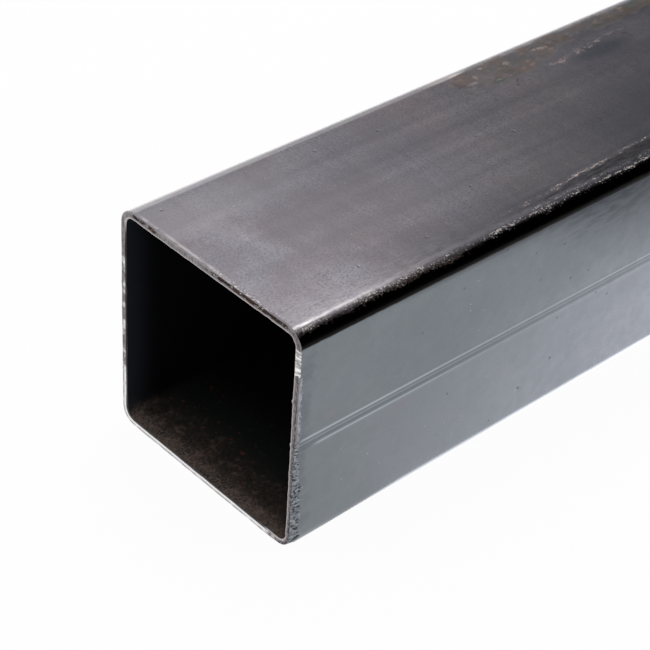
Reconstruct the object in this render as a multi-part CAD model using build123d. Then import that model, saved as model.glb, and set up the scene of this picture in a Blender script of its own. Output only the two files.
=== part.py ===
"""Square hollow section in mild steel, cut to a stock length.

The tube is cold rolled from hot-rolled strip and closed by one electric-resistance weld, so it is
one piece of metal: four flat walls of equal thickness, four rolled corners, and the weld running
down the middle of one wall. Outside, the weld flash has been planed off, which leaves a shallow
trough between two low lips. Inside, the flash stands as a narrow bead. Both ends are sawn square,
and their sharp edges are taken off.

Frame, in millimetres: the tube lies along X, Z is up, and the origin is the middle of the face
that it lies on. The welded wall faces -Y.
"""

import os

from build123d import *

# The section
side = 100.0  # across the outside of two opposite flats
wall = 3.0
corner_radius = 7.0  # outside of a rolled corner
least_bore_radius = 0.5  # what the inside of a corner keeps when the wall is as thick as its radius
length = 1000.0  # a cut length

# The planed weld, on the outside of the -Y wall
track_width = 5.0  # from crest to crest of the two lips
trough_depth = 0.15
lip_width = 1.2
lip_height = 0.12

# The weld bead, on the inside of the same wall
bead_width = 2.4
bead_height = 0.7

# The bevels that take the sharp edges off each end
outer_bevel = 0.5
bore_bevel = 0.3

bore = side - 2 * wall
bore_radius = max(corner_radius - wall, least_bore_radius)
weld_level = side / 2  # the strip's edges meet in the middle of the wall
half_length = length / 2


def cap(width, height):
    """A circular segment on its chord: `width` along the local Y axis, crown at local X = `height`."""
    outline = ThreePointArc((0, -width / 2), (height, 0), (0, width / 2)) + Line((0, width / 2), (0, -width / 2))
    return make_face(outline)


def square_outline(across, radius):
    """A rounded square of the section, drawn about the middle of the tube."""
    return Pos(0, side / 2) * RectangleRounded(across, across, radius)


def weld_track():
    """The two lips to add, and the trough to take away, on the outside of the welded wall."""
    outward = Pos(-side / 2, weld_level) * Rot(0, 0, 180)
    lips = [outward * Pos(0, step * track_width / 2) * cap(lip_width, lip_height) for step in (-1, 1)]
    trough = Pos(-side / 2, weld_level) * cap(track_width - lip_width, trough_depth)
    return lips, trough


def section():
    """The whole cross-section as one face: local X is the tube's Y, and local Y its Z."""
    lips, trough = weld_track()
    bead = Pos(-bore / 2, weld_level) * cap(bead_width, bead_height)
    walls = square_outline(side, corner_radius) - square_outline(bore, bore_radius)
    return walls + lips + bead - trough


def outer_bevel_cutter():
    """The ring that leaves a 45 degree bevel round the outside of the +X end."""
    margin = 2 * lip_height + outer_bevel
    start = Plane.YZ.offset(half_length - outer_bevel)
    block = extrude(start * square_outline(side + 2 * margin, corner_radius), amount=2 * outer_bevel)
    kept = extrude(start * square_outline(side, corner_radius), amount=outer_bevel, taper=45)
    return block - kept


def bore_bevel_cutter():
    """The flare that leaves a 45 degree bevel round the mouth of the bore at the +X end."""
    start = Plane.YZ.offset(half_length - bore_bevel)
    return extrude(start * square_outline(bore, bore_radius), amount=bore_bevel, taper=-45)


def square_tube():
    """The section carried over the whole length, with both ends bevelled."""
    tube = extrude(Plane.YZ.offset(-half_length) * section(), amount=length)
    for cutter in (outer_bevel_cutter(), bore_bevel_cutter()):
        tube = tube - cutter - mirror(cutter, about=Plane.YZ)
    return tube


os.makedirs("parts", exist_ok=True)
tube = square_tube()
tube.label = "square_tube"
export_step(tube, "parts/square_tube.step")
print(f"square_tube: {len(tube.solids())} solid, {tube.volume:.0f} mm3, {tube.volume * 7.85e-6:.2f} kg")
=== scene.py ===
"""The looks of a square hollow section in black steel: rolled skin, sawn ends and bore, stage and camera.

The tube is one mesh on a grid of two parameters, closed both ways. One goes once round the section. The
other goes along the outside, over the far cut, back through the bore and over the near cut. Shapes are in
metres. Masks, marks and patterns are in millimetres. A place along the tube is measured from the near end.
A place round the section is measured from the weld: up the weld's wall, over the top, down the back and
home along the underside.
"""

import math
from types import SimpleNamespace

import bpy
import numpy as np
from mathutils import Matrix, Vector


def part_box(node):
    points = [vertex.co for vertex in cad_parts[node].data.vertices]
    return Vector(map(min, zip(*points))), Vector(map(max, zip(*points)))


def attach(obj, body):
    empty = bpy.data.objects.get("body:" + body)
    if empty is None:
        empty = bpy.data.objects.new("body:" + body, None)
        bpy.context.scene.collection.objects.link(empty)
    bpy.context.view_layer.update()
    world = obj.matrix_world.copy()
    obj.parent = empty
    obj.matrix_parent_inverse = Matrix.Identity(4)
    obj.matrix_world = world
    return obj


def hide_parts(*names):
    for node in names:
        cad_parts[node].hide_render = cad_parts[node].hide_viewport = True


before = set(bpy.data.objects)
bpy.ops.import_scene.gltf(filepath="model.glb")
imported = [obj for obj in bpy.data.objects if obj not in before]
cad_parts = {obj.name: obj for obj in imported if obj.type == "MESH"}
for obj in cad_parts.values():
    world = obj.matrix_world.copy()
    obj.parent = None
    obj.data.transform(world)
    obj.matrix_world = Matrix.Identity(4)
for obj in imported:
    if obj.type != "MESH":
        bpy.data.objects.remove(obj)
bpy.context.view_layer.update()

MM = 0.001

# The tube, from the frame and the section's own sizes
low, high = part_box("square_tube")
SIDE = high.z - low.z
LENGTH = high.x - low.x
NEAR_END = low.x
WALL = 3 * MM
CORNER_RADIUS = 7 * MM
FLAT = SIDE - 2 * CORNER_RADIUS
CORNER = CORNER_RADIUS * math.pi / 2  # the arc of one corner
QUARTER = FLAT + CORNER
ROUND = 4 * QUARTER  # once round the outside

# Places round the section where its parts begin
TOP_CORNER_START = FLAT / 2  # the corner above the weld
TOP_START = TOP_CORNER_START + CORNER
TOP_END = TOP_START + FLAT
BACK_START = TOP_END + CORNER
UNDER_START = BACK_START + QUARTER
UNDER_CORNER_START = UNDER_START - CORNER  # the corner between the back and the underside
FRONT_START = UNDER_START + QUARTER  # the foot of the weld's wall

# The weld: a planed track outside, a bead of flash inside
TRACK_WIDTH = 5 * MM
TROUGH_DEPTH = 0.15 * MM
LIP_WIDTH = 1.2 * MM
LIP_HEIGHT = 0.12 * MM
BEAD_WIDTH = 2.4 * MM
BEAD_HEIGHT = 0.7 * MM

# The sawn ends
CUT_RECESS = 0.15 * MM  # the most that the cut lies below the highest burrs
TORN_DEPTH = 0.3 * MM  # where the saw tore the outer edge of the near end's top
OUTER_BEVEL = 0.4 * MM
BORE_BEVEL = 0.5 * MM
GROUND_RUN = 5.8 * MM  # along the tube, the widest of the rough bevel ground below the weld
GROUND_DEPTH = 0.8 * MM
END_BLEND = 10 * MM  # over this length the stations move aside for the bevels
BURR_PLACE = 19.6 * MM  # a nub of burr on the bore's edge, above the weld
BURR_HEIGHT = 0.6 * MM

# Dents in the weld's wall: place along the tube, height above the weld, length, width and depth, all in mm
DENTS = ((118.7, -32, 2.6, 2.2, 0.28), (124, 41, 3.2, 2, 0.30), (121, 39.5, 2, 1.8, 0.15))

# Clusters of crumbs broken off the front corner: place along the tube and reach in mm, and strength
CRUMB_CLUSTERS = (
    (9, 15, 0.5), (32, 12, 0.55), (44, 11, 0.5), (57, 9, 0.6), (72, 14, 0.3), (101, 16, 0.8), (124, 12, 0.4),
    (141, 16, 0.3), (172, 30, 0.3), (240, 60, 0.5))

# Flat marks: place along the tube, place across it, length and width in mm, and slant in degrees.
# On the weld's wall the place across is the height above the weld.
KNOCKS = (
    (118.2, 33.6, 2, 1.3, 60), (124, 42.4, 3.4, 1.8, 20), (134.3, 30.8, 1.8, 1.5, 0),
    (122.8, 19, 1.8, 1.2, 30), (149.7, 6.5, 2.4, 1.3, 30), (141, 12, 1.6, 1, 30),
    (151.5, 11.3, 1.8, 1, 40), (118.4, -31.3, 2.2, 1.8, 0), (135.7, -24.5, 1.6, 1.4, 0),
    (158.6, -2.7, 2.2, 1.2, 20), (166, -6.7, 1.8, 1.2, 0), (136.5, -5, 1.8, 1.2, 40),
    (77, -13.5, 1.6, 1.2, 0), (73, -31.5, 1.8, 1.4, 0), (103, -40, 1.8, 1.2, 0))
PINK_PATCHES = ((50, -6, 18, 6, 0), (16, 8, 12, 5, 0))

# On the top it is the distance from the back corner.
RUST_BLOT = (164.8, 5, 17, 12, 0)
BLOT_RIM = ((167, 9, 10, 3, 0), (158.6, 5, 3, 6, 0), (171.5, 6, 3, 5, 0))
PALE_SPOTS = (
    (178.3, 2, 3, 2, 30), (179.6, 22.4, 3.6, 1.6, -30), (190.5, 5.4, 5, 3, 0), (178.5, 13, 4, 1.6, 0),
    (211, 5, 12, 2.4, 12))
SMUDGES = ((182.8, 19.4, 11, 1.8, -45), (165.5, 24.4, 9, 2.2, -60), (251.5, 19, 7, 5, 60), (187, 11, 9, 3, 0))
BLUE_PATCH = (231, 21.5, 44, 12, 0)
# A rubbed patch on the back edge, lightened as a painted highlight
RUBBED_PATCH = (160, -0.8, 28, 2.8, 0)

# Finishes across an end's wall, from where they begin to where they are full; the cut itself is 1 to 2
CUT_LINES = {
    # The line along the bore's edge is rubbed steel with a painted highlight
    "outer_line": (1.15, 0.95), "outer_half": (1.8, 1.2), "inner_line": (1.75, 1.95), "scaled": (1.78, 1.94)}

SKIN, CUT, BORE = 0, 1, 2  # material slots of the mesh


def rise(value, start, end):
    """0 before start, 1 after end, and 3t^2 - 2t^3 between them."""
    t = np.clip((value - start) / (end - start), 0, 1)
    return t * t * (3 - 2 * t)


def hump(value, centre, half_width):
    """A smooth bump of height 1 at centre that is 0 beyond half_width: (1 - d^2)^2."""
    d = np.clip(np.abs(value - centre) / half_width, 0, 1)
    return (1 - d * d) ** 2


def between(value, start, end, soft):
    """1 between start and end and 0 outside, with a smooth edge of the given width inside each of them."""
    return rise(value, start, start + soft) * (1 - rise(value, end - soft, end))


def ripple(along, around, length, width, seed, waves=24):
    """Uneven waves over the surface, from -1 to 1: a sum of plane waves with random directions and phases.

    A wave has about the given length along the tube and width round it. It makes a whole number of turns
    round the section, so that the sum closes on itself.
    """
    rng = np.random.default_rng(seed)
    total = np.zeros(np.broadcast(along, around).shape)
    for _ in range(waves):
        turns = round(rng.normal(0, ROUND / width / 2))
        pitch = rng.normal(0, 0.5 / length)
        phase = rng.uniform(0, 2 * math.pi)
        total += np.sin(2 * math.pi * (pitch * along + turns * around / ROUND) + phase)
    return np.clip(total / math.sqrt(waves), -1, 1)


def spaced(*stretches):
    """Stations along a line: each stretch is (start, end, step), and its own end is left to the next one."""
    rows = [np.linspace(a, b, max(1, round(abs(b - a) / step)), endpoint=False) for a, b, step in stretches]
    return np.concatenate(rows)


def outline(around):
    """The outside of the section, as (y, z) and the outward normal, for distances round it from the weld.

    The distance falls on wall number k and on a part of that wall's quarter. Over the flat the point runs
    along it. Over the corner it stays at the flat's end and swings a quarter turn with the normal. The
    normal and direction of wall k are those of the weld's wall turned k times by 90 degrees.
    """
    wall, rest = np.divmod(np.mod(around + FLAT / 2, ROUND), QUARTER)
    turn = math.pi - wall * math.pi / 2
    angle = turn - np.maximum(rest - FLAT, 0) / CORNER_RADIUS
    reach = np.minimum(rest, FLAT) - FLAT / 2
    normal = np.stack([np.cos(angle), np.sin(angle)])
    out = np.stack([np.cos(turn), np.sin(turn)])
    onward = np.stack([np.sin(turn), -np.cos(turn)])
    centre = np.array([0, SIDE / 2]).reshape(2, *([1] * around.ndim))
    return centre + out * (SIDE / 2 - CORNER_RADIUS) + onward * reach + normal * CORNER_RADIUS, normal


def section_stations():
    """Places round the section, fine where there is relief: at the weld, in corners and below the weld."""
    weld = TRACK_WIDTH / 2 + 2 * LIP_WIDTH
    bend = CORNER / 12
    return spaced(
        (0, weld, 0.4 * MM), (weld, 18 * MM, 2 * MM), (18 * MM, 22 * MM, 0.5 * MM),
        (22 * MM, TOP_CORNER_START, 2 * MM), (TOP_CORNER_START, TOP_START, bend),
        (TOP_START, TOP_START + 12 * MM, 1 * MM), (TOP_START + 12 * MM, TOP_END - 24 * MM, 3 * MM),
        (TOP_END - 24 * MM, TOP_END, 1.6 * MM), (TOP_END, BACK_START, bend),
        (BACK_START, UNDER_CORNER_START, 4 * MM), (UNDER_CORNER_START, UNDER_START, bend),
        (UNDER_START, FRONT_START - CORNER, 4 * MM), (FRONT_START - CORNER, FRONT_START, bend),
        (FRONT_START, ROUND - weld, 1 * MM), (ROUND - weld, ROUND, 0.4 * MM))


def weld_distance(around):
    """Distance round the section from the weld, negative below it."""
    return np.mod(around + ROUND / 2, ROUND) - ROUND / 2


def past(around, start):
    """Distance in millimetres past a place round the section."""
    return (around - start) / MM


def track_relief(along, around):
    """Height of the planed track outside: two wavering lips, and the shallow trough between them."""
    off = weld_distance(around)
    waver = 0.08 * MM * ripple(along, 0 * around, 50 * MM, ROUND, 11)
    lips = hump(off + waver, TRACK_WIDTH / 2, LIP_WIDTH) + hump(off - waver, -TRACK_WIDTH / 2, LIP_WIDTH)
    trough = rise(TRACK_WIDTH / 2 - np.abs(off + waver), 0, LIP_WIDTH)
    height = LIP_HEIGHT * (0.9 + 0.1 * ripple(along, 0 * around, 20 * MM, ROUND, 12))
    return height * lips - TROUGH_DEPTH * trough


def dents(along, around):
    """Depth of the dents in the weld's wall: the sum of their humps."""
    off = weld_distance(around)
    return sum(
        deep * MM * hump(along, place * MM, length * MM) * hump(off, height * MM, width * MM)
        for place, height, length, width, deep in DENTS)


def skin_relief(along, around):
    """Height of the rolled skin above its plane: slack waves that stay below it, the track and the dents."""
    waves = 0.03 * MM * (ripple(along, around, 90 * MM, 50 * MM, 21) - 1)
    return waves + track_relief(along, around) - dents(along, around)


def bead_relief(along, around):
    """Height of the weld bead inside, uneven along its length."""
    uneven = 0.8 + 0.2 * ripple(along, 0 * around, 12 * MM, ROUND, 31)
    return BEAD_HEIGHT * uneven * hump(weld_distance(around), 0, BEAD_WIDTH / 2)


def end_bevels(around, seed, dressed):
    """Run along the tube and depth across the wall of an end's outer and inner bevel.

    Both are uneven. On the dressed end the outer bevel widens below the weld, where it was ground.
    """
    rough = ripple(0, around, 1, 6 * MM, seed)
    fine = ripple(0, around, 1, 2 * MM, seed + 1)
    below = -weld_distance(around)
    ground = 0.35 * rise(below, -5 * MM, 3 * MM) + 0.65 * rise(below, 2 * MM, 36 * MM)
    ground = dressed * ground * (1 - rise(below, 52 * MM, 60 * MM))
    outer_run = OUTER_BEVEL * (1 + 0.3 * rough + 0.2 * fine)
    outer_run = outer_run + ground * (GROUND_RUN - OUTER_BEVEL) * (0.78 + 0.14 * rough + 0.08 * fine)
    outer_depth = OUTER_BEVEL * (0.8 + 0.2 * rough) + ground * (GROUND_DEPTH - OUTER_BEVEL)
    inner_depth = BORE_BEVEL * (0.8 + 0.2 * fine)
    return outer_run, outer_depth, inner_depth * (0.8 + 0.1 * rough), inner_depth


def torn_edge(around):
    """Where the saw tore the near end's outer edge: along the top's front half, and a little at its back."""
    front = between(around, TOP_START - 1 * MM, TOP_START + 43 * MM, 3 * MM)
    back = between(around, TOP_END - 18 * MM, TOP_END + 3 * MM, 4 * MM)
    return np.maximum(front, 0.8 * back) * (0.75 + 0.25 * ripple(0, around, 1, 3 * MM, 71))


def cut_drop(around, share, seed, dressed):
    """How far the cut lies below the tube's end, for a share of the way from the outside to the bore.

    The saw leaves it uneven, a burr runs along the edge of the bore, and the outer edge is torn in places.
    """
    saw = 0.25 * ripple(share * WALL, around, 3 * MM, 4 * MM, seed)
    burr = 0.6 * rise(share, 0.8, 1) * (0.6 + 0.4 * ripple(0, around, 1, 5 * MM, seed + 1))
    torn = dressed * TORN_DEPTH * torn_edge(around) * between(share, 0.02, 0.5, 0.15)
    return CUT_RECESS * np.clip(0.75 - saw - burr, 0, 1) + torn


def end_rows(around, seed, dressed):
    """One sawn end from outside to bore: distance from the end, depth into the wall, and place across.

    The place across is 0 to 1 down the outer bevel, 1 to 2 over the cut and 2 to 3 down the bore's bevel.
    """
    outer_run, outer_depth, inner_run, inner_depth = end_bevels(around, seed, dressed)
    step = np.linspace(0, 1, 9)[:, None]
    inner_step = np.linspace(0, 1, 5)[1:, None]
    share = np.array([0.05, 0.16, 0.28, 0.4, 0.52, 0.66, 0.8, 0.92, 1])[:, None]
    drop = cut_drop(around, share, seed + 5, dressed)
    gouged = ripple(step * outer_run, around, 2 * MM, 2.5 * MM, seed + 7)
    gouges = 0.16 * outer_run * hump(step, 0.5, 0.5) * gouged
    run = [outer_run * (1 - step) + drop[:1] * step + gouges, drop, drop[-1:] + inner_run * inner_step]
    depth = [outer_depth * step ** 0.8, outer_depth + (WALL - outer_depth - inner_depth) * share,
             WALL - inner_depth * (1 - inner_step)]
    place = [step, 1 + share, 2 + inner_step]
    wide = np.ones_like(around)
    return tuple(np.concatenate([part * wide for part in column]) for column in (run, depth, place))


def moved_aside(stations, near_run, far_run):
    """Stations along the tube, moved aside near its ends to leave room for the bevels."""
    near = near_run * np.clip(1 - stations / END_BLEND, 0, 1)
    far = far_run * np.clip(1 - (LENGTH - stations) / END_BLEND, 0, 1)
    return stations + near - far


def tube_grid():
    """Vertex places, by rows over the wall and places round the section, with the surface of each row.

    A vertex is the outline's point, moved along its normal by the relief less the depth. The bead swells the
    bore, and the cut too in proportion to the square of its depth.
    """
    around = section_stations()[None, :]
    near = end_rows(around, 41, 1)
    far = end_rows(around, 61, 0)
    outside = spaced(
        (0, 8 * MM, 0.5 * MM), (8 * MM, 20 * MM, 1.2 * MM), (20 * MM, 115 * MM, 2.8 * MM),
        (115 * MM, 128 * MM, 0.8 * MM), (128 * MM, 360 * MM, 2.8 * MM), (360 * MM, LENGTH - 10 * MM, 6 * MM),
        (LENGTH - 10 * MM, LENGTH, 2 * MM))[1:, None]
    inside = spaced(
        (LENGTH - 1 * MM, 120 * MM, 40 * MM), (120 * MM, 8 * MM, 4 * MM), (8 * MM, 0, 1 * MM))[:, None]
    skin = moved_aside(outside, near[0][:1], far[0][:1])
    bore = moved_aside(inside, near[0][-1:], far[0][-1:])
    along = np.concatenate([near[0][::-1], skin, LENGTH - far[0], bore])
    depth = np.concatenate([near[1][::-1], 0 * skin, far[1], WALL + 0 * bore])
    across = np.concatenate([near[2][::-1], 0 * skin - 1, far[2], 0 * bore + 4])
    kind = np.repeat([CUT, SKIN, CUT, BORE], [len(near[0]), len(skin), len(far[0]), len(bore)])

    place, normal = outline(np.broadcast_to(around, along.shape))
    on_skin = (kind == SKIN)[:, None]
    burr = BURR_HEIGHT * hump(around, BURR_PLACE, 1.3 * MM) * (1 - rise(along, 1 * MM, 3 * MM))
    swell = (bead_relief(along, around) + burr) * (depth / WALL) ** 2
    lift = np.where(on_skin, skin_relief(along, around), -swell) - depth
    grid = np.empty((*along.shape, 3))
    grid[..., 0] = NEAR_END + along
    grid[..., 1:] = np.moveaxis(place + normal * lift, 0, -1)
    return grid, kind, finish_masks(along, around * np.ones_like(along), across)


def corner_marks(along, on_top):
    """Masks of the front top corner, where the strip ran over the edge of the forming rolls.

    on_top is the distance past the corner's end, and on_upper the distance past a line of scuffs that climbs
    over the top. Both hold in the corner's zone. Crumbs of scale broke off it in clusters. The corner's band
    is painted dark as a reflection, and its upper part is thin along the first 108 mm. From 14 mm on a darker
    zone reaches from the corner over the top.
    """
    upper = 2.5 + 2 * rise(along, 130, 152) + 1.6 * rise(along, 150, 200)
    zone = between(on_top, -14, 14, 1)
    clusters = sum(strength * hump(along, place, reach) for place, reach, strength in CRUMB_CLUSTERS)
    crumbly = 0.28 - 0.1 * rise(along, 60, 90) + clusters
    fading = 0.55 * rise(along, 4, 24) + 0.45 * rise(along, 24, 70)
    thickness = 0.65 + 0.3 * hump(along, 62, 40)
    darker_corner_zone = rise(along, 14, 92) * (1 - 0.65 * rise(along, 118, 158))
    return {
        "on_top": on_top,
        "on_upper": on_top - upper,
        "zone": zone,
        "crumbly": np.clip(crumbly, 0, 1),
        "begun": zone * rise(along, 92, 128),
        # The band's thin upper part; the band is painted dark as a reflection
        "thin_dark_band": thickness * (1 - 0.8 * rise(along, 78, 108)),
        # Where the bright line of rubbed steel carries a painted highlight, fading along the corner
        "glint_reach": zone * (1 - fading),
        # A zone over the corner and the top's edge with darker colour from 14 mm on
        "darker_corner_zone": darker_corner_zone * between(on_top, -12, 30, 1) * (1 - rise(on_top, -3, 28)),
        "drawn": (1 - 0.6 * rise(along, 60, 130)) * hump(on_top, 2, 10),
    }


def stain_marks(along, from_back):
    """Masks of the rust along the back top corner.

    from_back is the distance from the corner over the top, and on_tide the distance past the line where the
    water's edge dried last. Both hold in the back zone. The stain reaches 18 mm over the top at first and
    10 mm further on.
    """
    begins = between(along, 150, 430, 22)
    past_reach = from_back - (18 - 8 * rise(along, 200, 222))
    return {
        "from_back": from_back,
        "back_zone": between(from_back, -8, 34, 1),
        "on_tide": from_back - 17.8 + 0.08 * (along - 200),
        "tide_run": between(along, 198, 256, 6) * between(from_back, 4, 30, 2),
        "stain": begins * rise(from_back, -5, 1) * (1 - rise(past_reach, -5, 3)),
        "ochre_run": between(along, 190, 430, 35) * between(from_back, 0, 14, 1),
    }


def wall_marks(along, off_weld):
    """Masks of the weld's wall: its oiled flat, the weld's track and lips, and the smear under the corner.

    The wall is darker along its upper edge, and painted darker on its far part as a dark reflection. It is
    painted lighter and bluer towards the far end and its foot, a cooler scale with a painted reflection. The
    saw nibbled its edge at the mouth.
    """
    upper_lip = hump(off_weld, 2.4, 0.8) * rise(along, 1, 4)
    lower_lip = hump(off_weld, -2.2, 0.7) * rise(along, 7, 12)
    between_lips = 0.4 * hump(off_weld, 0.4, 0.5)
    fading = 1 - 0.5 * rise(along, 30, 110)
    under_corner = rise(off_weld, 22, 44) * between(off_weld, 0, 60, 8)
    shaded = rise(along, 115, 200) * rise(off_weld, -20, 45)
    return {
        "along": along,
        "off_weld": off_weld,
        "planed_wall": between(off_weld, -50, 50, 3),
        "below_weld": rise(along, 0, 70) * between(off_weld, -50, -2.6, 1),
        "track": np.maximum(hump(off_weld, 1.1, 0.9), hump(off_weld, -0.7, 1.1)),
        # The track's lips, painted light as highlights
        "lips": fading * np.maximum(np.maximum(upper_lip, lower_lip), between_lips),
        # Lighter and bluer towards the far end and the wall's foot: a cooler scale and a painted reflection
        "cool_wall_and_reflection": rise(along, 30, 260) * (1 - 0.75 * rise(off_weld, -14, 40)),
        "smeared": under_corner * between(along, 108, 400, 60),
        "under_edge": hump(off_weld, 45, 9) * between(along, 60, 400, 90),
        # The far part, painted darker as a dark reflection
        "far_wall_dark_reflection": shaded * between(off_weld, -30, 50, 3),
        "beside_mouth": (1 - rise(along, 2, 13)) * between(off_weld, -45, 46, 6),
        "nibbled": (1 - rise(along, 0.9, 2.6)) * between(off_weld, -6, 31, 2),
    }


def cut_marks(around, off_weld, on_top, across):
    """Masks of the near cut: the filed patch above the weld, the torn top, and the bevel ground below it.

    The cut is whitest along the underside, dressed steel with a painted highlight. There and on the back the
    bore's bevel keeps its dark scale.
    """
    on_back, on_under = past(around, BACK_START), past(around, UNDER_START)
    whiter = 0.32 * rise(on_back, 0, 20) + 0.68 * rise(on_under, -CORNER / MM - 26, 0)
    behind_front = 1 - rise(past(around, FRONT_START), -20, -12)
    below_end = 1 - rise(-off_weld, 52, 58)
    return {
        "filed": between(off_weld, 31.5, 42.3, 0.5),
        "scaled_edge": rise(on_back, -2, 6) * behind_front,
        # The bright underside: dressed steel with a painted highlight
        "dressed_and_lit_cut": 1.6 * whiter * behind_front,
        "torn": 1.8 * torn_edge(around) * between(across, 0.5, 1.75, 0.25),
        "purple_cut": 1 - rise(on_top, 6, 12) + between(off_weld, -60, 0, 6),
        "ground": rise(-off_weld, -5, 2) * below_end,
        "nicked": rise(-off_weld, -33, -26) * below_end,
        "across": across,
    }


def mouth_marks(along, around, on_top):
    """Masks beside the near cut: splinters along the skin's edge, painted light in the bore's mouth, dust on
    its lip and floor.
    """
    on_under = past(around, UNDER_START)
    floor = between(on_under, -CORNER / MM - 2, QUARTER / MM + 4, 14)
    thinner = 1 - 0.1 * rise(on_under, 35, QUARTER / MM - 20)
    return {
        # Splinters along the skin's edge, light in part as a painted highlight
        "lit_splinters": (1 - rise(along, 0.8, 4)) * between(on_top, 2, 48, 6),
        # A light line along the near edge of the top's back half, in part a painted highlight
        "rim": between(along, 0.1, 2.2, 0.8) * between(on_top, 30, FLAT / MM + 2, 12),
        # The bore's first 16 mm, painted lighter as light from the mouth
        "mouth": 1 - rise(along, 0, 16),
        "damp": floor * (1 - rise(along, 18, 58)),
        "dusty": thinner * floor * rise(along, -3, 3) * (1 - rise(along, 6, 27)),
        "lip_dust": floor * (1 - rise(along, 1, 10)),
    }


def top_marks(along, from_back):
    """Masks of the top's painted light near the end, its painted shade far, and a light V-shaped smear by a
    dark one.
    """
    down = (from_back - 18) / 32  # 0 at the open end of the V and 1 at its point
    vee = between(from_back, 16, 51, 5) * hump(along, 17 + 8 * down, 9 - 4 * down)
    return {
        # Painted light near the end, fading out by 330 mm
        "near_end": 1 - rise(along, 30, 330),
        # Painted light by the near back
        "near_back": (1 - rise(along, 20, 90)) * between(from_back, -3, 30, 12),
        # Painted shade on the far front part of the top
        "far_shade": rise(along, 70, 210) * rise(from_back, 8, 70),
        "vee": vee,
        "dark_smear": hump(from_back, 43, 15) * hump(along, 12 + 7 * down, 6) * (1 - vee),
    }


def finish_masks(along, around, across):
    """Where each finish lies, from 0 to 1 over the mesh; the materials break their edges up.

    Each mask is a product of smooth steps and humps in the place along the tube and the place round its
    section. The masks that are distances, and all numbers in these functions, are in millimetres.
    """
    along, off_weld = along / MM, weld_distance(around) / MM
    on_top, from_back = past(around, TOP_START), -past(around, TOP_END)
    return {
        **top_marks(along, from_back), **corner_marks(along, on_top), **stain_marks(along, from_back),
        **wall_marks(along, off_weld), **cut_marks(around, off_weld, on_top, across),
        **mouth_marks(along, around, on_top)}


def closed_mesh(name, grid, kind):
    """A mesh of quads over a grid that closes on itself both ways, with a material slot for each row.

    A row of faces between two surfaces belongs to the one that isn't the cut.
    """
    rows, columns = grid.shape[:2]
    index = np.arange(rows * columns).reshape(rows, columns)
    below = np.roll(index, -1, axis=0)
    beside, opposite = np.roll(index, -1, axis=1), np.roll(below, -1, axis=1)
    quads = np.stack([index, below, opposite, beside], axis=-1).reshape(-1, 4)
    mesh = bpy.data.meshes.new(name)
    mesh.vertices.add(rows * columns)
    mesh.vertices.foreach_set("co", grid.reshape(-1).astype(np.float32))
    mesh.loops.add(quads.size)
    mesh.loops.foreach_set("vertex_index", quads.reshape(-1).astype(np.int32))
    mesh.polygons.add(len(quads))
    mesh.polygons.foreach_set("loop_start", np.arange(0, quads.size, 4, dtype=np.int32))
    ahead = np.roll(kind, -1)
    slot = np.where(kind == ahead, kind, kind + ahead - CUT)
    mesh.polygons.foreach_set("material_index", np.repeat(slot, columns).astype(np.int32))
    mesh.update(calc_edges=True)
    mesh.shade_smooth()
    mesh.set_sharp_from_angle(angle=math.radians(30))
    return mesh


def linear(hex_colour):
    """An sRGB hex colour as linear RGBA."""
    values = [int(hex_colour[i:i + 2], 16) / 255 for i in (1, 3, 5)]
    return [v / 12.92 if v <= 0.04045 else ((v + 0.055) / 1.055) ** 2.4 for v in values] + [1]


def add(tree, kind, inputs=None, out=0, **settings):
    """Adds a shader node with its settings, sets or links its inputs, and returns one of its outputs.

    An input's text is a hex colour or the name of a mask.
    """
    made = tree.nodes.new("ShaderNode" + kind)
    for name, value in settings.items():
        setattr(made, name, value)
    for name, value in (inputs or {}).items():
        if isinstance(value, str):
            colour = value.startswith("#")
            value = linear(value) if colour else add(tree, "Attribute", out="Fac", attribute_name=value)
        if isinstance(value, bpy.types.NodeSocket):
            tree.links.new(value, made.inputs[name])
        else:
            made.inputs[name].default_value = value
    return made.outputs[out] if made.outputs else None


def emptied_tree(holder):
    """The node tree of a new material or world, without the nodes that it comes with."""
    holder.use_nodes = True
    holder.node_tree.nodes.clear()
    return holder.node_tree


def new_material(name):
    """A new material, its node tree, and the surface's place in metres."""
    material = bpy.data.materials.new(name)
    tree = emptied_tree(material)
    return material, tree, add(tree, "TexCoord", out="Object")


def blotches(tree, place, size, seed, low=0.42, high=0.58, detail=2, finer=None):
    """Patches about as wide as a size, from 0 to 1: soft noise cut off below low and above high.

    They can be that many times finer along each axis, and a factor under 1 draws them out.
    """
    if finer:
        place = add(tree, "Mapping", {"Vector": place, "Scale": finer})
    inputs = {"Vector": place, "W": seed, "Scale": 0.5 / (size * MM), "Detail": detail}
    noise = add(tree, "TexNoise", inputs, noise_dimensions="4D")
    return add(tree, "MapRange", {"Value": noise, "From Min": low, "From Max": high})


def spots(tree, place, spacing, radius):
    """Round spots scattered about as far apart as the spacing, from 0 at the radius to 1 in the middle."""
    away = add(tree, "TexVoronoi", {"Vector": place, "Scale": 1 / (spacing * MM)})
    return add(tree, "MapRange", {"Value": away, "From Min": radius / spacing, "From Max": 0})


def raised(tree, mask, noise, level=1, softness=0.25):
    """A mask with ragged edges: how far mask and noise together pass the level, over the softness."""
    both = add(tree, "Math", {0: mask, 1: noise}, operation="ADD")
    return add(tree, "MapRange", {"Value": both, "From Min": level, "From Max": level + softness})


def product(tree, first, *others):
    """The product of masks."""
    for other in others:
        first = add(tree, "Math", {0: first, 1: other}, operation="MULTIPLY")
    return first


def greatest(tree, first, *others):
    """The greatest of masks."""
    for other in others:
        first = add(tree, "Math", {0: first, 1: other}, operation="MAXIMUM")
    return first


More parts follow.
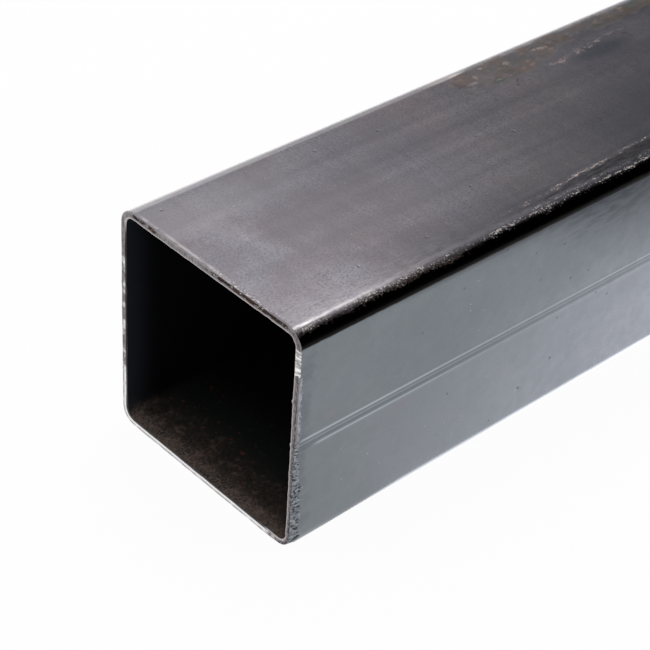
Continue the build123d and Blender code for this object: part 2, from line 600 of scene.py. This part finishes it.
def shifted(tree, across, noise, reach):
    """A distance moved by up to half the reach either way, as a noise from 0 to 1 says."""
    centred = add(tree, "Math", {0: noise, 1: 0.5}, operation="SUBTRACT")
    return add(tree, "Math", {0: centred, 1: reach, 2: across}, operation="MULTIPLY_ADD")


def strip(tree, across, start, end, soft):
    """1 where a distance lies between start and end and 0 outside, with a soft edge inside each of them."""
    begun = add(tree, "MapRange", {"Value": across, "From Min": start, "From Max": start + soft})
    ended = add(tree, "MapRange", {"Value": across, "From Min": end, "From Max": end - soft})
    return product(tree, begun, ended)


def marks(tree, place, *ovals):
    """Oval marks, 1 inside and 0 from their rims on: each is (x, y, length, width, slant in degrees)."""
    shares = []
    for x, y, length, width, degrees in ovals:
        own = add(tree, "Mapping", {
            "Vector": place, "Location": (x, y, 0), "Rotation": (0, 0, math.radians(degrees)),
            "Scale": (length / 2, width / 2, 1)}, vector_type="TEXTURE")
        away = add(tree, "VectorMath", {0: own}, out="Value", operation="LENGTH")
        shares.append(add(tree, "MapRange", {"Value": away, "From Min": 1, "From Max": 0.5}))
    return greatest(tree, *shares)


def layered(tree, base, *layers):
    """Hex colours or numbers laid over a base; each layer is its value, then the masks that all limit it."""
    coloured = isinstance(base, str)
    first, second, out, data = (6, 7, 2, "RGBA") if coloured else (2, 3, 0, "FLOAT")
    for value, *masks in layers:
        share = product(tree, *masks)
        base = add(tree, "Mix", {0: share, first: base, second: value}, out=out, data_type=data)
    return base


def heaped(tree, *parts):
    """The surface's small relief: the sum of patterns, each times its height in mm."""
    total = 0
    for pattern, height in parts:
        total = add(tree, "Math", {0: pattern, 1: height * MM, 2: total}, operation="MULTIPLY_ADD")
    return add(tree, "Bump", {"Height": total, "Distance": 1})


def finish_material(tree, **inputs):
    """Ends a material with one Principled shader; an underscore in a name stands for a space."""
    named = {name.replace("_", " "): value for name, value in inputs.items()}
    shader = add(tree, "BsdfPrincipled", named)
    add(tree, "OutputMaterial", {"Surface": shader})


def dark_band_and_chips(tree, place, crumbs, waver):
    """The front corner's painted dark band and the scale broken off in it, from 0 to 1.

    The band is painted dark as a reflection of dark surroundings. It thickens down the corner and ends at its
    foot. Its upper part is thin and gritty, and crumbs of scale broke off along it.
    """
    clumps = blotches(tree, place, 4, 10, 0.3, 0.7, detail=3, finer=(0.5, 1, 1))
    dark_crumbs = blotches(tree, place, 0.4, 51, 0.3, 0.7, detail=3, finer=(0.7, 1, 1))
    hanging = shifted(tree, "on_top", clumps, 1.5)
    wavering = shifted(tree, "on_top", waver, 0.3)
    slopes = ((wavering, -10.9, -10.2), (hanging, -2.9, -5.2), (hanging, -2.1, -4.8), (hanging, -5.8, -3.5))
    foot, sinking, deepening, thinning = [
        add(tree, "MapRange", {"Value": height, "From Min": start, "From Max": end})
        for height, start, end in slopes]
    grit = raised(tree, product(tree, deepening, 0.9), dark_crumbs, 1, 0.3)
    thick = product(tree, "crumbly", layered(tree, 0.5, (1, clumps)))
    chipped = product(tree, "zone", thick, thinning, strip(tree, hanging, -7, -2.2, 0.5))
    upper_band = product(tree, "thin_dark_band", strip(tree, hanging, -6.8, -2.6, 2))
    return {
        # The band painted dark as a reflection of dark surroundings, ending at the corner's foot
        "soot": product(tree, "zone", greatest(tree, sinking, product(tree, "crumbly", grit, 0.85)), foot),
        "chips": raised(tree, chipped, crumbs, 1, 0.35),
        "sooty_top": raised(tree, upper_band, dark_crumbs, 0.92, 0.6),
        "clumps": clumps,
    }


def scuff_lines(tree, place, crumbs, waver, breaks):
    """The scuffs along the front corner, from 0 to 1.

    From 90 mm on three broken lines of scuffs part, and the scale between the upper two is dulled.
    """
    on_top = shifted(tree, "on_top", waver, 1.1)
    on_upper = shifted(tree, "on_upper", waver, 1.9)
    below_upper = add(tree, "MapRange", {"Value": on_upper, "From Min": -0.3, "From Max": -1.4})
    rows = (
        (on_top, -4.1, -2.9, 0.4, 0.8), (on_top, -2.3, -0.8, 0.6, 0.65), (on_upper, -1, 1.1, 0.9, 0.75))
    lines = greatest(tree, *[product(tree, "begun", strip(tree, *row[:4]), row[4]) for row in rows])
    return {
        "scuffs": raised(tree, layered(tree, lines, (0, breaks, 0.55)), crumbs, 1, 0.4),
        "upper": product(tree, "begun", strip(tree, on_upper, -1.2, 1.6, 0.6)),
        "dulled": product(tree, "begun", below_upper, strip(tree, on_top, -1, 12, 0.6)),
        "seam": product(tree, "zone", "crumbly", strip(tree, on_top, -3.1, -1.9, 0.5)),
        "halo": product(tree, "begun", strip(tree, on_upper, 0.3, 4, 1.5)),
        "scratches": blotches(tree, place, 0.5, 58, 0.4, 0.6, detail=3, finer=(0.16, 1, 1)),
    }


def polished_and_painted_line(tree, waver, breaks):
    """The bright line along the front corner near the cut: rubbed steel and a painted highlight, its glow and
    lower edge.
    """
    on_glint = shifted(tree, "on_top", waver, 0.4)
    thin_line = strip(tree, on_glint, -2.9, -1.3, 0.5)
    glow = product(tree, strip(tree, on_glint, -3, -0.9, 0.9), 0.35)
    glint = product(tree, "glint_reach", greatest(tree, thin_line, glow))
    return {
        # The painted highlight over rubbed steel, broken up
        "glint": layered(tree, glint, (0, breaks, 0.75)),
        "under_glint": product(tree, "glint_reach", strip(tree, on_glint, -1.2, -0.2, 0.4)),
    }


def rubbed_corner(tree, place, crumbs):
    """What lies where on the front corner: its painted dark band and broken scale, its scuffs and its bright
    line.
    """
    waver = blotches(tree, place, 1, 52, 0.3, 0.7, detail=6, finer=(0.5, 1, 1))
    breaks = blotches(tree, place, 1.5, 57, 0.36, 0.6, detail=4, finer=(0.4, 1, 1))
    return SimpleNamespace(
        **dark_band_and_chips(tree, place, crumbs, waver),
        **scuff_lines(tree, place, crumbs, waver, breaks),
        **polished_and_painted_line(tree, waver, breaks))


def rusted_corner(tree, place, crumbs):
    """What lies where on the back corner: a rubbed edge with painted highlight, and rust with patches, tide
    line and spots.
    """
    soft_noise = blotches(tree, place, 3, 9, 0.3, 0.7, detail=6, finer=(0.6, 1, 1))
    mottle = blotches(tree, place, 1.6, 12, 0.38, 0.62, detail=4, finer=(0.6, 1, 1))
    from_back = shifted(tree, "from_back", soft_noise, 4)
    on_tide = shifted(tree, "on_tide", mottle, 2.4)
    flat = add(tree, "CombineXYZ", {"X": "along", "Y": "from_back"})
    ochre = product(tree, "ochre_run", strip(tree, from_back, 3, 9.5, 2.5), 0.8)
    tide = product(tree, "tide_run", strip(tree, on_tide, -1.7, 1.7, 1.4), 0.9)
    pale = product(tree, marks(tree, flat, *PALE_SPOTS), 0.8)
    by_corner = {
        "blot": raised(tree, marks(tree, flat, RUST_BLOT), mottle, 0.9, 0.6),
        "rim": raised(tree, marks(tree, flat, *BLOT_RIM), mottle, 1, 0.5),
        "pale": raised(tree, pale, crumbs, 1, 0.5),
        "smudge": raised(tree, marks(tree, flat, *SMUDGES), mottle, 1, 0.8),
        "blue": marks(tree, flat, BLUE_PATCH),
        # The rubbed patch and the rubbed back edge, each lightened as a painted highlight
        "worn": marks(tree, flat, RUBBED_PATCH),
        "shine": strip(tree, "from_back", -9, 0.9, 1.4),
    }
    return SimpleNamespace(
        **{name: product(tree, "back_zone", share) for name, share in by_corner.items()},
        stained=raised(tree, "stain", soft_noise, 1, 0.7),
        mottle=mottle,
        flecks=blotches(tree, place, 0.9, 14, 0.56, 0.66, detail=3, finer=(0.5, 1, 1)),
        green=blotches(tree, place, 5, 13, 0.46, 0.6, detail=3, finer=(0.5, 1, 1)),
        ochre=raised(tree, ochre, soft_noise, 1, 0.6),
        tide=raised(tree, layered(tree, tide, (0, mottle, 0.7)), crumbs, 1, 0.4))


def oiled_wall(tree, place):
    """What lies where on the weld's wall, from 0 to 1: soft mottling, a rippled smear, and small knocks."""
    slanted = add(tree, "Mapping", {
        "Vector": place, "Rotation": (0, math.radians(-28), 0), "Scale": (0.3, 1, 1)})
    flat = add(tree, "CombineXYZ", {"X": "along", "Y": "off_weld"})
    uneven = blotches(tree, place, 0.6, 56, 0.3, 0.7)
    dirt = blotches(tree, place, 2, 55, 0.3, 0.7, detail=6)
    bites = blotches(tree, place, 0.45, 59, 0.4, 0.6)
    return SimpleNamespace(
        mottle=blotches(tree, place, 2.2, 53, 0.35, 0.65, detail=3),
        knocked=product(tree, "planed_wall", raised(tree, marks(tree, flat, *KNOCKS), uneven, 1, 0.5)),
        ripples=blotches(tree, slanted, 1.2, 54, 0.46, 0.6, detail=4),
        pink=product(tree, "planed_wall", marks(tree, flat, *PINK_PATCHES)),
        grubby=raised(tree, "beside_mouth", dirt, 1, 0.7),
        nibbled=raised(tree, "nibbled", bites, 1, 0.3),
        nicks=blotches(tree, place, 0.45, 60, 0.55, 0.66, finer=(1, 1, 0.5)))


def scale_patterns(tree, place):
    """The patterns of the mill scale all over the skin, from 0 to 1, and the splinters along its torn edge.

    The grain is 0.2 mm wide in the steel. It is drawn as 0.5 mm and as 1.4 mm, the finest that shows.
    """
    splinters = blotches(tree, place, 0.35, 61, 0.32, 0.68, detail=3, finer=(1, 0.7, 1))
    return SimpleNamespace(
        grain=blotches(tree, place, 0.5, 1, 0.3, 0.7),
        coarse_grain=blotches(tree, place, 1.4, 2, 0.3, 0.7, detail=4),
        clouds=blotches(tree, place, 14, 3, detail=5),
        wide_clouds=blotches(tree, place, 45, 4),
        streaks=blotches(tree, place, 5, 6, 0.35, 0.65, finer=(0.03, 1, 1)),
        chatter=blotches(tree, place, 2.5, 7, 0.35, 0.65, finer=(1, 0.12, 0.12)),
        crumbs=blotches(tree, place, 0.28, 8, 0.32, 0.68, finer=(0.7, 1, 1)),
        pits=spots(tree, place, 13, 0.8),
        specks=spots(tree, place, 6, 0.4),
        # Splinters along the torn edge, light in part as a painted highlight
        lit_splinters=raised(tree, "lit_splinters", splinters, 1.45, 0.35))


def scale_layers(scale):
    """Colours of the scale on the top: warm grey grain, clouds, streaks, chatter, and smears by the cut."""
    return (
        # The light grain near the end is painted light, fading along the top
        ("#8b878d", scale.grain), ("#b6b1b6", scale.grain, "near_end", 0.7),
        ("#a8a3a8", scale.coarse_grain, 0.44), ("#7d7172", scale.clouds, "near_end", 0.6),
        ("#7b7c84", scale.wide_clouds, 0.35), ("#6d6b72", scale.streaks, 0.4),
        # Colours of the back corner: rubbed edge and patch with painted highlights, a bluish patch, stain,
        # tide line, single marks.
        ("#75727a", scale.chatter, 0.35), ("#c4bfc4", "vee", 0.1),
        # A dark smear, then painted light by the near back
        ("#6b6264", "dark_smear", scale.clouds, 0.6), ("#aaa6aa", "near_back", 0.25),
        # Painted shade on the top's far front part
        ("#40474d", "far_shade", 0.36))


def wall_layers(scale, oiled):
    """Colours of the oiled wall: cooler greys, dirt, smear, painted reflections, knocks, and the weld's
    track.
    """
    return (
        # Lighter and bluer towards the far end and the wall's foot: a cooler scale and a painted reflection
        ("#787f84", "planed_wall", 0.9), ("#b8bcc9", "planed_wall", "cool_wall_and_reflection", 0.85),
        ("#6c747b", scale.wide_clouds, "planed_wall", 0.35), ("#666e75", oiled.mottle, "planed_wall", 0.22),
        ("#9698a2", "below_weld", 0.25), ("#877f84", oiled.pink, 0.25), ("#5b6267", oiled.grubby, 0.5),
        ("#454a54", "smeared", 0.65), ("#1f2428", "smeared", oiled.ripples, 0.6),
        # The far part of the wall is painted darker as a dark reflection
        ("#31363f", "under_edge", 0.6), ("#3a3e44", "far_wall_dark_reflection", 0.63), ("#33373d", oiled.knocked, 0.65),
        ("#b6b6bb", oiled.nibbled, 0.55), ("#34383d", oiled.nibbled, oiled.nicks, 0.8),
        # The track's lips painted light as highlights
        ("#5f656b", "planed_wall", "track", 0.5), ("#bcc3cb", "lips", 0.65))


def corner_layers(scale, rub):
    """Colours of pits, specks and the front corner: darker zone, painted highlight and dark band, chips,
    scuffs.
    """
    return (
        ("#3a3839", scale.pits, 0.6), ("#d9d2d2", scale.specks, "near_end", 0.5),
        # Darker colour over the corner's zone from 14 mm on
        ("#b9b4b8", "drawn", rub.scratches, 0.26), ("#4a505c", rub.halo, 0.25), ("#3c3d42", "darker_corner_zone", 0.55),
        ("#3b3b3f", rub.dulled, 0.55), ("#8d8a90", rub.dulled, rub.scratches, 0.5),
        ("#a29fa5", rub.dulled, scale.crumbs, 0.3), ("#6a666a", rub.under_glint, 0.35),
        # A painted highlight on the rubbed bright line, then the band painted near black as a dark
        # reflection, brownish at its top
        ("#3a343a", rub.seam, 0.5), ("#f4f1f1", rub.glint, 0.85), ("#100e0d", rub.soot, 0.99),
        ("#413a37", rub.soot, rub.sooty_top, 0.85), ("#75655e", rub.soot, rub.clumps, rub.sooty_top, 0.5),
        ("#978d8c", rub.chips, 0.9), ("#f2eae8", rub.chips, scale.crumbs, 0.7),
        ("#7d5d52", rub.chips, rub.clumps, 0.25), ("#c9c0bc", rub.scuffs),
        # Light splinters and a light line along the near edge, in part painted highlights
        ("#9a6e5d", rub.scuffs, rub.upper, scale.coarse_grain, 0.8), ("#ddd7d8", scale.lit_splinters, 0.8),
        ("#d5d0d2", "rim", scale.coarse_grain, 0.7))


def rust_layers(rust):
    """Colours of the back corner: its shine, a bluish patch, the stain, the tide line and single marks."""
    stained = rust.stained
    return (
        # The rubbed back edge, lightened as a painted highlight
        ("#cdcace", rust.shine, 0.75), ("#3d4a5a", rust.blue, 0.4), ("#3c3938", stained, 0.75),
        ("#6d5d55", stained, rust.mottle, 0.75), ("#4b5453", stained, rust.green, 0.6),
        ("#4d4035", rust.ochre, 0.65), ("#8c7971", stained, rust.flecks, 0.6),
        ("#2f3034", rust.smudge, 0.35), ("#99827b", rust.tide, 0.8), ("#74645f", rust.blot, 0.6),
        # Rim, pale spots, and a rubbed patch on the back edge lightened as a painted highlight
        ("#9d918c", rust.rim, 0.6), ("#b0a199", rust.pale, 0.65), ("#dcd6d4", rust.worn, 0.9))


def rolled_steel_skin():
    """Hot-rolled mild steel, cold formed and oiled: dark scale, satin on the top and glossy at the corners.

    The scale gives a warm grey with purple and brown clouds. The rolls leave streaks along the tube, faint
    chatter across it, and a glaze on the corners. Rubbing breaks the scale down to brighter steel, and rust
    starts where water lay along the back corner. Light and shade are painted in places: light near the end,
    shade on the top's far part, a dark band on the front corner and the wall's far part as reflections, and
    highlights on rubbed lines and edges. The band's thin upper part and the rust are only partly metal.
    """
    material, tree, place = new_material("mill_scale_rolled_steel")
    scale = scale_patterns(tree, place)
    rub = rubbed_corner(tree, place, scale.crumbs)
    rust = rusted_corner(tree, place, scale.crumbs)
    oiled = oiled_wall(tree, place)
    colour = layered(
        tree, "#64616a", *scale_layers(scale), *wall_layers(scale, oiled), *corner_layers(scale, rub),
        *rust_layers(rust))
    metal = layered(
        tree, 1, (0.4, rust.stained), (0.5, rust.tide), (0.3, rub.sooty_top, rub.soot), (0.45, rub.chips),
        (0.5, rub.scuffs))
    rough = layered(
        tree, 0.4, (0.47, scale.clouds, 0.5), (0.34, scale.streaks, 0.4), (0.26, "planed_wall"),
        (0.31, "planed_wall", scale.clouds, 0.4), (0.3, rub.dulled), (0.62, rust.stained, 0.9),
        (0.26, rub.soot), (0.55, rub.chips), (0.55, rub.scuffs), (0.34, rub.glint, 0.7))
    rippled = product(tree, "smeared", oiled.ripples)
    relief = heaped(
        tree, (scale.grain, 0.006), (scale.coarse_grain, 0.01), (scale.pits, -0.1), (scale.specks, 0.03),
        (rub.chips, 0.04), (rub.scuffs, 0.05), (rust.tide, 0.05), (rust.stained, 0.03), (scale.lit_splinters, 0.05),
        (oiled.knocked, -0.05), (rippled, -0.02))
    finish_material(tree, Base_Color=colour, Metallic=metal, Roughness=rough, Normal=relief)
    return material


def cut_patterns(tree, place):
    """What lies where on the cut: lines along its edges, some painted light and shade, scores, file marks,
    grit, nicks, smears.

    The grit is 0.2 mm wide in the steel. It is drawn as 0.4 mm, the finest that shows.
    """
    slanted = add(tree, "Mapping", {
        "Vector": place, "Rotation": (math.radians(35), 0, 0), "Scale": (0.6, 0.3, 1)})
    smears = blotches(tree, place, 1.6, 23, 0.36, 0.64, detail=3)
    patches = blotches(tree, place, 2.4, 26, 0.35, 0.65, detail=3)
    uneven = blotches(tree, place, 1, 25, 0.2, 0.5)
    broken = blotches(tree, place, 1.2, 29, 0.25, 0.55)
    lines = {
        name: add(tree, "MapRange", {"Value": "across", "From Min": start, "From Max": end})
        for name, (start, end) in CUT_LINES.items()}
    return SimpleNamespace(
        **lines,
        edge=strip(tree, "across", 0.2, 1.6, 0.3),
        # A dark line along the outer edge, painted as the burr's shadow
        burr_shadow_line=strip(tree, "across", 0.9, 1.55, 0.2),
        contour=product(tree, strip(tree, "across", 0.75, 1.5, 0.3), broken),
        grit=blotches(tree, place, 0.4, 27, 0.45, 0.6),
        scores=blotches(tree, place, 0.35, 21, 0.35, 0.65, detail=3, finer=(1, 1, 0.3)),
        nicks=blotches(tree, slanted, 0.45, 28, 0.52, 0.6, detail=3),
        file_marks=blotches(tree, slanted, 0.45, 22, 0.42, 0.58),
        grooves=blotches(tree, place, 0.3, 30, 0.46, 0.6, finer=(1, 1, 0.25)),
        smears=smears,
        # The bright underside: dressed steel with a painted highlight
        bright=raised(tree, "dressed_and_lit_cut", patches, 1, 0.4),
        filed=raised(tree, "filed", uneven, 1, 0.2),
        torn=raised(tree, "torn", smears, 1, 0.3))


def cut_layers(cut):
    """Colours of the cut: scored steel, purple by the weld, a painted burr shadow, bright lines, ground
    bevel, torn top.
    """
    return (
        ("#b0abae", cut.scores, 0.7), ("#6d6365", cut.smears, 0.6), ("#5b5356", "purple_cut", 0.5),
        ("#8e8588", "purple_cut", cut.scores, 0.45),
        # A dark line along the outer edge painted as the burr's shadow
        ("#2b2628", "purple_cut", cut.burr_shadow_line, cut.grooves, 0.8), ("#2b2628", "purple_cut", cut.nicks, 0.5),
        ("#b9b2b4", "purple_cut", cut.grit, 0.25), ("#1f1d1f", "nicked", cut.edge, cut.grooves, 0.8),
        # Bright lines along the edges and the bright underside: bare steel in part, painted highlights in
        # part
        ("#cdc8c9", cut.inner_line, 0.75), ("#aaa5a6", cut.outer_line, 0.4), ("#f8f6f6", cut.bright, 0.95),
        ("#c9c6c8", cut.bright, cut.scores, 0.3), ("#7f7c7e", cut.bright, cut.contour, 0.8),
        ("#201d1d", "scaled_edge", cut.scaled, 0.95), ("#6d737a", "ground", cut.outer_line, 0.95),
        ("#c3c8ce", "ground", cut.outer_line, cut.file_marks, 0.45),
        ("#202225", "ground", cut.outer_half, cut.nicks, 0.9),
        ("#3a3d41", "ground", cut.outer_line, cut.grit, 0.35), ("#f7f5f3", cut.filed, 0.97),
        ("#4f4a4a", cut.filed, cut.file_marks, 0.7), ("#2a2321", cut.torn, 0.95),
        ("#75594c", cut.torn, cut.smears, 0.5), ("#060505", cut.torn, cut.scores, 0.6),
        ("#e2dcda", cut.torn, cut.grit, cut.nicks, 0.8))


def sawn_steel():
    """Mild steel cut by a bandsaw and dressed with a file: dull grey, scored, brighter where dressed, painted
    highlights.

    The bore's edge is rubbed to a bright line with a painted highlight, and the bevel ground below the weld
    is scratched at a slant.
    """
    material, tree, place = new_material("sawn_steel")
    cut = cut_patterns(tree, place)
    colour = layered(tree, "#6e696c", *cut_layers(cut))
    rough = layered(
        tree, 0.5, (0.42, cut.bright), (0.38, cut.filed), (0.65, cut.torn), (0.36, "ground", cut.outer_line))
    relief = heaped(tree, (cut.scores, 0.03), (cut.smears, 0.05), (cut.nicks, -0.05), (cut.file_marks, 0.02))
    finish_material(tree, Base_Color=colour, Metallic=1, Roughness=rough, Normal=relief)
    return material


def rusted_bore():
    """The inside of the strip, never oiled or dressed: black scale, dead matt, with rusty dust on its floor.

    The dust lies lighter on the lip of the near end. Deep in the bore the colour is painted near black as
    shade, and in its first 16 mm lighter bluish grey as painted light from the mouth.
    """
    material, tree, place = new_material("rusted_mill_scale")
    dust = blotches(tree, place, 0.5, 41, 0.42, 0.72, detail=3)
    flecks = blotches(tree, place, 1.1, 44, 0.5, 0.64, detail=5)
    clouds = blotches(tree, place, 3.5, 42, 0.38, 0.64, detail=6)
    specks = blotches(tree, place, 1.2, 43, 0.62, 0.7, detail=4)
    colour = layered(
        # Painted near black deep in the bore as shade, and lighter near the mouth as painted light
        tree, "#030303", ("#20232b", "mouth", 0.9), ("#171b1a", "damp"), ("#282320", "dusty", 0.5),
        ("#382e29", "dusty", clouds), ("#786660", "dusty", flecks, clouds, 0.7),
        ("#584c47", "dusty", dust, 0.4), ("#5a4f4a", "lip_dust", 0.2), ("#a3948b", "lip_dust", dust, 0.5),
        ("#7a6a62", "lip_dust", clouds, 0.25), ("#6b3c2f", specks, "damp", 0.5))
    relief = heaped(tree, (dust, 0.03), (clouds, 0.06), (specks, 0.05))
    finish_material(
        tree, Base_Color=colour, Metallic=0, Roughness=0.9, Specular_IOR_Level=0.12, Normal=relief)
    return material


def new_object(name, data):
    """A new object of the scene."""
    made = bpy.data.objects.new(name, data)
    bpy.context.scene.collection.objects.link(made)
    return made


def make_tube():
    """The dressed tube, which replaces the CAD node."""
    grid, kind, masks = tube_grid()
    mesh = closed_mesh("square_tube_skin", grid, kind)
    for name, values in masks.items():
        mask = mesh.attributes.new(name, "FLOAT", "POINT")
        mask.data.foreach_set("value", values.reshape(-1).astype(np.float32))
    for material in (rolled_steel_skin(), sawn_steel(), rusted_bore()):
        mesh.materials.append(material)
    tube = new_object("dressed_square_tube", mesh)
    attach(tube, "root")
    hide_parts("square_tube")


def stage_plane(name, corners, material):
    """A flat stage piece through four corners."""
    mesh = bpy.data.meshes.new(name)
    mesh.from_pydata(corners, [], [(0, 1, 2, 3)])
    mesh.materials.append(material)
    plane = new_object(name, mesh)
    return plane


def seen_directly(tree):
    """1 for rays from the camera, a mirror or glass, and 0 for those that carry light."""
    rays = ("Is Camera Ray", "Is Glossy Ray", "Is Transmission Ray")
    return greatest(tree, *[add(tree, "LightPath", out=ray) for ray in rays])


def make_world():
    """A white surround to look at, and an even grey one for its light."""
    world = bpy.data.worlds.new("studio")
    bpy.context.scene.world = world
    tree = emptied_tree(world)
    light = add(tree, "Background", {"Color": "#ffffff", "Strength": WORLD_LIGHT})
    white = add(tree, "Background", {"Color": "#ffffff", "Strength": 1})
    both = add(tree, "MixShader", {0: seen_directly(tree), 1: light, 2: white})
    add(tree, "OutputWorld", {"Surface": both})


def make_floor():
    """A plain pale floor at the tube's underside, white to look at but for the tube's shadow."""
    material = bpy.data.materials.new("white_floor")
    tree = emptied_tree(material)
    paint = add(tree, "BsdfDiffuse", {"Color": "#f7f7f7"})
    white = add(tree, "Emission", {"Color": "#ffffff", "Strength": 1})
    share = add(tree, "Math", {0: seen_directly(tree), 1: FLOOR_WHITE}, operation="MULTIPLY")
    both = add(tree, "MixShader", {0: share, 1: paint, 2: white})
    add(tree, "OutputMaterial", {"Surface": both})
    far = FLOOR_REACH
    stage_plane("floor", lying(0, (-far, -far), (far, -far), (far, far), (-far, far)), material)


def make_card(name, colour, strength, corners):
    """A flat card that only gloss sees, as a studio's flag or strip light."""
    material = bpy.data.materials.new(name + "_paint")
    tree = emptied_tree(material)
    paint = add(tree, "Emission", {"Color": colour, "Strength": strength})
    add(tree, "OutputMaterial", {"Surface": paint})
    card = stage_plane(name, corners, material)
    for rays in ("camera", "diffuse", "transmission", "volume_scatter", "shadow"):
        setattr(card, "visible_" + rays, False)


def lying(height, *corners):
    """The corners of a lying card at a height, from floor points (x, y)."""
    return [(x, y, height) for x, y in corners]


def upright(start, end, foot, top):
    """The corners of an upright card from one floor point (x, y) to another, between two heights."""
    return [(*start, foot), (*end, foot), (*end, top), (*start, top)]


def make_lamp(name, place, aim, size, power):
    """A square area lamp that faces a point."""
    data = bpy.data.lights.new(name, "AREA")
    data.shape = "SQUARE"
    data.size = size
    data.energy = power
    lamp = new_object(name, data)
    lamp.location = place
    lamp.rotation_euler = (Vector(aim) - Vector(place)).to_track_quat("-Z", "Y").to_euler()


def make_camera():
    """The camera: a long lens, above and before the near end, on the weld's side."""
    flat, up = math.cos(CAMERA_ELEVATION), math.sin(CAMERA_ELEVATION)
    back = Vector((math.sin(CAMERA_AZIMUTH) * flat, -math.cos(CAMERA_AZIMUTH) * flat, up))
    right = Vector((0, 0, 1)).cross(back).normalized()
    turn = Matrix.Rotation(CAMERA_ROLL, 3, back)
    axes = Matrix((turn @ right, turn @ back.cross(right), back)).transposed()
    data = bpy.data.cameras.new("camera")
    data.sensor_width = 36
    data.lens = CAMERA_LENS
    data.clip_end = 100
    camera = new_object("camera", data)
    camera.matrix_world = Matrix.Translation(Vector((NEAR_END, 0, 0)) + CAMERA_PLACE) @ axes.to_4x4()
    bpy.context.scene.camera = camera


# The stage: light from all round, one soft lamp overhead, flags that give the steel something dark to show,
# strips of light low down that rim its corners, and a small bright card overhead
WORLD_LIGHT = 0.75
FLOOR_WHITE = 0.96  # the share of the floor's look that the shadow doesn't reach
FLOOR_REACH = 14
LAMP_PLACE = (-0.15, 0.25, 0.75)
LAMP_AIM = (0, 0, 0.1)
LAMP_SIZE = 0.4
LAMP_POWER = 1.5
SIDE_FLAG = upright((-1.1, -0.4), (5, -0.4), 0, 0.97)
FAR_FLAG = upright((0.8, -0.6), (0.8, 2), 0.30, 1.40)
CARD_LIFT = 0.3 * MM  # of the strips above the floor
RIM_STRIP = lying(CARD_LIFT, (-0.5, 0.4), (3, 0.4), (3, 2), (-0.5, 2))
RIM_LIGHT = 2.2
FOOT_STRIP = lying(CARD_LIFT, (-0.44, -0.0525), (0.5, -0.0525), (0.5, -0.0455), (-0.5, -0.0455))
FOOT_LIGHT = 2.2
GLINT_CARD = lying(0.9, (0.46, 0.06), (0.62, 0.06), (0.62, 0.2), (0.46, 0.2))
GLINT_LIGHT = 4.5

# The camera, from the middle of the near end's foot
CAMERA_PLACE = SIDE * Vector((-3.6194, -4.3233, 5.0058))
CAMERA_AZIMUTH = math.radians(-44.249)
CAMERA_ELEVATION = math.radians(36.898)
CAMERA_ROLL = math.radians(3.765)
CAMERA_LENS = 109.3

make_tube()
make_world()
make_floor()
make_card("side_flag", "#030303", 1, SIDE_FLAG)
make_card("far_flag", "#202022", 1, FAR_FLAG)
make_card("rim_strip", "#ffffff", RIM_LIGHT, RIM_STRIP)
make_card("foot_strip", "#ffffff", FOOT_LIGHT, FOOT_STRIP)
make_card("glint_card", "#ffffff", GLINT_LIGHT, GLINT_CARD)
make_lamp("top_lamp", LAMP_PLACE, LAMP_AIM, LAMP_SIZE, LAMP_POWER)
make_camera()
bpy.context.scene.view_settings.view_transform = "Standard"
